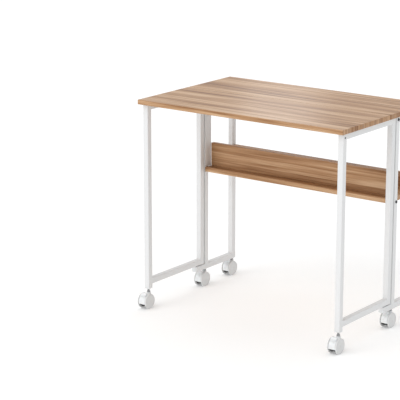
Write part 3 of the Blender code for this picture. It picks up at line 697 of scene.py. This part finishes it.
def hinge_leaf(side, kind, towards, body, zinc):
    """A hinge plate with its knuckles and three countersunk screws."""
    node = f"{side}_hinge_{kind}_plate"
    low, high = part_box(node)
    axis = centre(f"{side}_hinge_pin")
    plate_z = (low.z, low.z + PLATE)
    clear = axis.y + towards * (KNUCKLE + POCKET_GAP)
    far = high.y if towards > 0 else low.y
    y_plate = sorted((clear, far))
    plate_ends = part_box(f"{side}_hinge_fixed_plate")
    half = (plate_ends[1].x - plate_ends[0].x) / 2
    split = KNUCKLE_SPLIT
    if kind == "fixed":
        spans = [(-half, -split), (split, half)]
    else:
        spans = [(POCKET_GAP - split, split - POCKET_GAP)]
    joined = []
    for start, end in spans:
        reach = sorted((axis.y + towards * 0.0004, clear + towards * 0.002))
        joined.append(box((axis.x + start, reach[0], plate_z[0] + 0.0002),
                          (axis.x + end, reach[1], plate_z[1] - 0.0002)))
        joined.append(moved(rod(start, end, KNUCKLE, 40, "X"), axis))
    plate = box((axis.x - half, y_plate[0], plate_z[0]), (axis.x + half, y_plate[1], plate_z[1]),
                0.0025, 2, 5)
    screw_y = (clear + far) / 2
    places = [(axis.x + share * half, screw_y, plate_z[0]) for share in (-0.68, 0.0, 0.68)]
    seat = turned([(-0.001, 0), (-0.001, SCREW_HEAD + 0.0002), (0.0003, SCREW_HEAD + 0.0002),
                   (0.0016, 0.0013), (0.0016, 0)])
    removed = [moved(seat, place) for place in places]
    removed.append(moved(rod(-2 * half, 2 * half, 0.0012, 32, "X"), axis))
    mesh = combined(f"{side}_hinge_{kind}_leaf", plate, joined=joined, removed=removed)
    piece(f"{side}_hinge_{kind}_leaf", mesh, zinc, body, [node])
    screws = gathered(f"{side}_hinge_{kind}_screws",
                      [moved(countersunk_screw(), (x, y, z + 0.0001)) for x, y, z in places])
    piece(f"{side}_hinge_{kind}_screws", screws, zinc, body)


# Casters --------------------------------------------------------------------------------------

def around_wheel(degrees, radius):
    """A (y, z) point about the wheel's centre; 0 is the front and 90 degrees is up."""
    angle = math.radians(degrees)
    return -TRAIL - radius * math.cos(angle), WHEEL_RADIUS + radius * math.sin(angle)


def crowned_fender():
    """The hood's solid: a sector over the wheels, with softly rounded sides."""
    bm = bmesh.new()
    steps = 84
    sides = [(-1.0, 0.0010), (-0.985, 0.0005), (-0.94, 0.00015), (-0.80, 0.0), (0.80, 0.0), (0.94, 0.00015),
             (0.985, 0.0005), (1.0, 0.0010)]
    rings = []
    for share, inset in sides:
        radius = HOOD_RADIUS - inset
        rings.append([bm.verts.new((share * HOOD_HALF, *around_wheel(-15 + 210 * step / steps, radius)))
                      for step in range(steps + 1)])
    for first, second in zip(rings, rings[1:]):
        for step in range(steps + 1):
            after = (step + 1) % (steps + 1)
            bm.faces.new((first[step], first[after], second[after], second[step]))
    bm.faces.new(rings[0])
    bm.faces.new(rings[-1])
    return mesh_from(bm, "fender")


def hood_mesh():
    boss = turned([(0.0400, 0), (0.0400, 0.0100), (0.0440, 0.0098), (0.0465, 0.0088), (0.0485, 0.0079),
                   (0.0505, 0.0073), (0.0528, 0.0072), (0.0533, 0.0070), (BOSS_TOP, 0.0065),
                   (BOSS_TOP, 0)], 64)
    middle = (0, -TRAIL, WHEEL_RADIUS)
    removed = [moved(rod(sign * CHANNEL_X if sign > 0 else -2 * HOOD_HALF,
                         2 * HOOD_HALF if sign > 0 else -CHANNEL_X, CHANNEL_RADIUS, 96, "X"), middle)
               for sign in SIDES.values()]
    removed.append(moved(rod(-0.02, 0.02, AXLE_BORE, 32, "X"), middle))
    removed.append(rod(0.0355, 0.07, STEM_BORE, 48))
    spread = 13
    slot = [around_wheel(LEVER_ANGLE + turn, radius)
            for turn, radius in ((-spread, 0.0165), (-spread, 0.0290), (spread, 0.0290), (spread, 0.0165))]
    removed.append(prism(slot, -0.0043, 0.0043))
    for x, turn, radius in ((0.0045, 36, 0.0022), (-0.0018, 14, 0.0012)):
        y, z = around_wheel(turn, HOOD_RADIUS)
        tilt = Matrix.Rotation(math.radians(-turn), 4, "X")
        removed.append(moved(rod(-0.0030, 0.0016, radius, 32, "Y"), (x, y, z), tilt))
    return combined("hood", crowned_fender(), joined=[boss], removed=removed)


def wheel_mesh():
    """A wheel on the +X side about its own centre: rounded tread, stepped rim and a plain disc."""
    profile = [(0.0135, 0), (0.0135, 0.0023), (0.0061, 0.0023), (0.0061, 0.0200), (0.0066, 0.0208),
               (0.0138, 0.0208), (0.0138, 0.0253), (0.0140, 0.0258), (0.0144, 0.0260), (0.0160, 0.0260),
               (0.0168, 0.0258), (0.0173, 0.0253), (0.0174, 0.0247), (0.0172, 0.0243), (0.0168, 0.0241),
               (0.0162, 0.0240), (0.0162, 0.0235), (0.0168, 0.0233), (0.0171, 0.0228), (0.0173, 0.0180),
               (0.0174, 0.0100), (0.0174, 0.0034), (0.0172, 0.0030), (0.0168, 0.0028), (0.0166, 0.0024),
               (0.0166, 0)]
    return shaded(turned(profile, 96, "X"), "caster_wheel", 32)


def shoe_mesh():
    """The dark brake shoe that fills the gap between the wheels below the hood."""
    low = math.degrees(math.asin(-SHOE_DEPTH / SHOE_RADIUS))
    steps = 40
    outline = [around_wheel(low - (180 + 2 * low) * step / steps, SHOE_RADIUS) for step in range(steps + 1)]
    shoe = prism(outline, -0.0054, 0.0054, 0.0006)
    return shaded(shoe, "shoe")


def lever_mesh():
    """The brake lever: a root in the hood's slot and a ribbed foot tab with a raised lip."""
    pivot = Vector((0, *around_wheel(LEVER_ANGLE, LEVER_PIVOT)))

    def placed(turns):
        points = [around_wheel(LEVER_ANGLE + turn, radius) for turn, radius in turns]
        return [(y - pivot.y, z - pivot.z) for y, z in points]

    root = prism(placed([(-7, 0.0190), (-7, 0.0285), (7, 0.0285), (7, 0.0190)]), -0.0040, 0.0040)
    tab = placed([(6, 0.0272), (-4, 0.0269), (-16, 0.0268), (-17, 0.0276), (-16, 0.0284), (-6, 0.0287),
                  (0, 0.0294), (3, 0.0308), (5, 0.0328), (7, 0.0331), (9, 0.0325), (9, 0.0312), (8, 0.0292)])
    plate = prism(tab, -LEVER_HALF, LEVER_HALF, 0.0006, 3)
    ribs = []
    for turn in (-14, -11, -8, -5):
        (y, z), = placed([(turn, 0.0285)])
        ribs.append(moved(rod(-0.0086, 0.0086, 0.00055, 16, "X"), (0, y, z)))
    return combined("lever", plate, joined=[root] + ribs)


def stem_mesh():
    """The steel stem: a plain pintle below a hexagon collar, with a groove above it."""
    return shaded(turned([(0.0360, 0), (0.0360, 0.0036), (0.0364, 0.0040), (0.0548, 0.0040),
          (0.0550, 0.0058),
                          (0.0555, 0.0060), (0.0556, 0.0053, hexagon), (0.0588, 0.0053, hexagon),
                          (0.0590, 0.0050), (0.0590, 0.0040), (0.0602, 0.0040), (0.0605, 0.0036),
                          (0.0615, 0.0036), (0.0618, 0.0040), (0.0770, 0.0040), (0.0775, 0.0036),
                          (0.0775, 0)], 72), "stem")


def casters(plastic, zinc, grey, black):
    hood = hood_mesh()
    lever = lever_mesh()
    shoe = shoe_mesh()
    stem = stem_mesh()
    wheel = wheel_mesh()
    mirrored = wheel.copy()
    mirrored.transform(Matrix.Rotation(math.pi, 4, "Z"))
    for side in SIDES:
        for corner in CORNERS:
            name = f"{side}_{corner}"
            base = centre(f"{name}_caster_stem")
            base.z = 0
            carrier = f"{side}_gate" if corner == "gate" else "table_frame"
            piece(f"{name}_stem", stem, zinc, carrier, [f"{name}_caster_stem"], base)
            piece(f"{name}_hood", hood, plastic, f"{name}_caster",
                  [f"{name}_caster_hood"], base)
            piece(f"{name}_shoe", shoe, black, f"{name}_caster", (), base)
            pivot = base + Vector((0, *around_wheel(LEVER_ANGLE, LEVER_PIVOT)))
            piece(f"{name}_lever", lever, plastic, f"{name}_brake",
                  [f"{name}_brake_lever"], pivot)
            middle = base + Vector((0, -TRAIL, WHEEL_RADIUS))
            for way, mesh in (("left", mirrored), ("right", wheel)):
                piece(f"{name}_wheel_{way}", mesh, grey, f"{name}_wheels",
                      [f"{name}_{way}_wheel"], middle)


def restyle(names, material):
    """Give CAD nodes that stay in view a detailed material."""
    for name in names:
        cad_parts[name].material_slots[0].material = material


# Studio ---------------------------------------------------------------------------------------

def soft_sun(name, towards, strength, spread):
    """Even light from one direction, soft enough to leave no hard shadow."""
    light = bpy.data.lights.new(name, "SUN")
    light.energy = strength
    light.angle = math.radians(spread)
    obj = bpy.data.objects.new(name, light)
    bpy.context.scene.collection.objects.link(obj)
    obj.rotation_euler = Vector(towards).to_track_quat("Z", "Y").to_euler()


def soft_panel(name, place, aim, size, power):
    """A small panel light, hidden from the camera, that gives the boards a soft sheen."""
    light = bpy.data.lights.new(name, "AREA")
    light.shape = "RECTANGLE"
    light.size, light.size_y = size
    light.energy = power
    obj = bpy.data.objects.new(name, light)
    bpy.context.scene.collection.objects.link(obj)
    obj.location = place
    obj.rotation_euler = (Vector(aim) - Vector(place)).to_track_quat("-Z", "Y").to_euler()
    obj.visible_camera = False


def studio():
    scene = bpy.context.scene
    scene.view_settings.view_transform = "Standard"
    world = bpy.data.worlds.new("studio")
    world.use_nodes = True
    background = world.node_tree.nodes["Background"]
    background.inputs["Color"].default_value = (0.98, 0.99, 1.0, 1.0)
    background.inputs["Strength"].default_value = 0.84
    scene.world = world
    bm = bmesh.new()
    bmesh.ops.create_grid(bm, x_segments=8, y_segments=8, size=30.0)
    floor = bpy.data.objects.new("studio_floor", mesh_from(bm, "studio_floor"))
    scene.collection.objects.link(floor)
    floor.data.materials.append(studio_floor("studio_floor"))
    soft_sun("key", (-0.25, -0.80, 0.55), 1.0, 60)
    soft_panel("sheen", (-0.66, 0.98, 1.16), (0.16, -0.24, 0.725), (0.3, 0.2), 0.70)


def camera():
    data = bpy.data.cameras.new("camera")
    data.lens = 153.5
    data.sensor_width = 36.0
    obj = bpy.data.objects.new("camera", data)
    bpy.context.scene.collection.objects.link(obj)
    obj.location = (3.0824, -4.5834, 1.8333)
    obj.rotation_euler = (math.pi / 2 - 0.2559, 0, 0.6405)
    bpy.context.scene.camera = obj


def build():
    paint = powder_coat("powder_coat")
    plastic = moulded_plastic("hood_plastic", (0.800, 0.802, 0.802), (0.765, 0.767, 0.768), 1500.0)
    grey = wheel_plastic("wheel_plastic_grey")
    zinc = steel("zinc_plate", (0.46, 0.46, 0.47), (0.34, 0.34, 0.35), 0.30, 0.48)
    black = steel("black_oxide", (0.150, 0.150, 0.155), (0.075, 0.075, 0.078), 0.36, 0.54)
    for side in SIDES:
        gate(side, paint, plastic, black)
        end_frame(side, paint, plastic)
        hinge_leaf(side, "fixed", 1, "table_frame", zinc)
        hinge_leaf(side, "leaf", -1, "leaf", zinc)
    cross_rail(paint)
    socket_bolts(black)
    boards()
    shelf_screws(zinc)
    casters(plastic, zinc, grey, black)
    restyle([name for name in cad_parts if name.endswith(("_axle", "_pin"))], zinc)
    studio()
    camera()


build()
